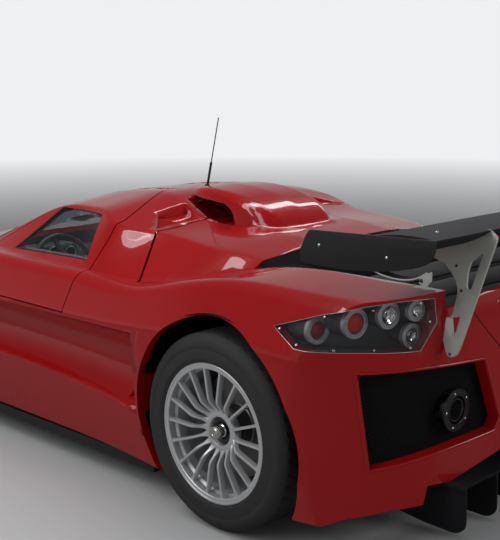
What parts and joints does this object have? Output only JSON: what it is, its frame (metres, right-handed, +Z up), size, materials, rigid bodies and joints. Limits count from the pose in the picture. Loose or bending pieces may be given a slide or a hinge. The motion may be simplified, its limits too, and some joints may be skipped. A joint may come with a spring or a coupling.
{
  "type": "mid-engined supercar",
  "caption": "Mid-engined two-seat supercar with gull-wing doors, roof air scoop and a tall rear wing on bare metal uprights.",
  "frame": {"origin": "on the ground below the middle of the car, midway between the nose and the rear wing's trailing edge", "axes": "+X forward along the car, +Y to the car's left, +Z up"},
  "size_m": [4.493, 1.9872, 1.3866],
  "materials": {
    "paint_red": "gloss clear coat",
    "carbon_black": "clear-coated carbon fibre",
    "matte_black": "matte",
    "mesh_black": "matte",
    "glass": "clear",
    "lamp_cover": "clear",
    "aluminium": "machined",
    "wheel_silver": "polished",
    "tyre": "matte",
    "steel": "satin",
    "engine_grey": "cast",
    "leather": "satin",
    "titanium": "heat-tinted"
  },
  "bodies": {
    "body": {"tub": "carbon_black", "underfloor": "carbon_black", "nose": "paint_red", "front_splitter": "carbon_black", "front_fender_left": "paint_red", "front_fender_right": "paint_red", "windscreen": "glass", "roof": "paint_red", "scuttle": "paint_red", "side_sill_left": "paint_red", "side_sill_right": "paint_red", "rear_quarter_left": "paint_red", "rear_quarter_right": "paint_red", "rear_fascia": "paint_red", "deck_louvres": "carbon_black", "rear_wing": "matte_black", "wing_endplates": "carbon_black", "wing_uprights": "aluminium", "diffuser": "carbon_black", "exhausts": "titanium", "tail_lamps": "lamp_cover", "headlamps": "lamp_cover", "grilles": "mesh_black", "powertrain": "engine_grey", "luggage_box": "carbon_black", "seats": "leather", "dashboard": "leather", "steering_wheel": "leather", "antenna": "matte_black", "mirrors": "paint_red", "front_suspension": "steel", "rear_suspension": "steel"},
    "bonnet_lid": {"bonnet": "paint_red"},
    "engine_lid": {"engine_cover": "paint_red"},
    "left_door": {"door_left": "paint_red", "door_glass_left": "glass"},
    "right_door": {"door_right": "paint_red", "door_glass_right": "glass"},
    "left_knuckle": {"knuckle_left": "steel"},
    "right_knuckle": {"knuckle_right": "steel"},
    "wheel_front_left": {"rim_front_left": "wheel_silver", "tyre_front_left": "tyre"},
    "wheel_front_right": {"rim_front_right": "wheel_silver", "tyre_front_right": "tyre"},
    "wheel_rear_left": {"rim_rear_left": "wheel_silver", "tyre_rear_left": "tyre"},
    "wheel_rear_right": {"rim_rear_right": "wheel_silver", "tyre_rear_right": "tyre"}
  },
  "joints": [
    {"name": "left_door_swing", "type": "hinge", "parent": "body", "child": "left_door", "pos_m": [-0.118, 0.15, 1.05961], "axis": [1, 0, 0], "range_deg": [0, 78]},
    {"name": "right_door_swing", "type": "hinge", "parent": "body", "child": "right_door", "pos_m": [-0.118, -0.15, 1.05961], "axis": [-1, 0, 0], "range_deg": [0, 78]},
    {"name": "bonnet_swing", "type": "hinge", "parent": "body", "child": "bonnet_lid", "pos_m": [1.977, 0, 0.5497], "axis": [0, 1, 0], "range_deg": [0, 60]},
    {"name": "engine_lid_swing", "type": "hinge", "parent": "body", "child": "engine_lid", "pos_m": [-1.213, 0, 0.92963], "axis": [0, -1, 0], "range_deg": [0, 45]},
    {"name": "left_steer", "type": "hinge", "parent": "body", "child": "left_knuckle", "pos_m": [1.332, 0.765, 0.33], "axis": [0, 0, 1], "range_deg": [-30, 30]},
    {"name": "right_steer", "type": "hinge", "parent": "body", "child": "right_knuckle", "pos_m": [1.332, -0.765, 0.33], "axis": [0, 0, 1], "range_deg": [-30, 30]},
    {"name": "front_left_roll", "type": "hinge", "parent": "left_knuckle", "child": "wheel_front_left", "pos_m": [1.332, 0.83, 0.33], "axis": [0, 1, 0], "continuous": true},
    {"name": "front_right_roll", "type": "hinge", "parent": "right_knuckle", "child": "wheel_front_right", "pos_m": [1.332, -0.83, 0.33], "axis": [0, 1, 0], "continuous": true},
    {"name": "rear_left_roll", "type": "hinge", "parent": "body", "child": "wheel_rear_left", "pos_m": [-1.368, 0.83, 0.36], "axis": [0, 1, 0], "continuous": true},
    {"name": "rear_right_roll", "type": "hinge", "parent": "body", "child": "wheel_rear_right", "pos_m": [-1.368, -0.83, 0.36], "axis": [0, 1, 0], "continuous": true}
  ],
  "couplings": [
    {"joint": "right_steer", "follows": "left_steer", "ratio": 1}
  ]
}
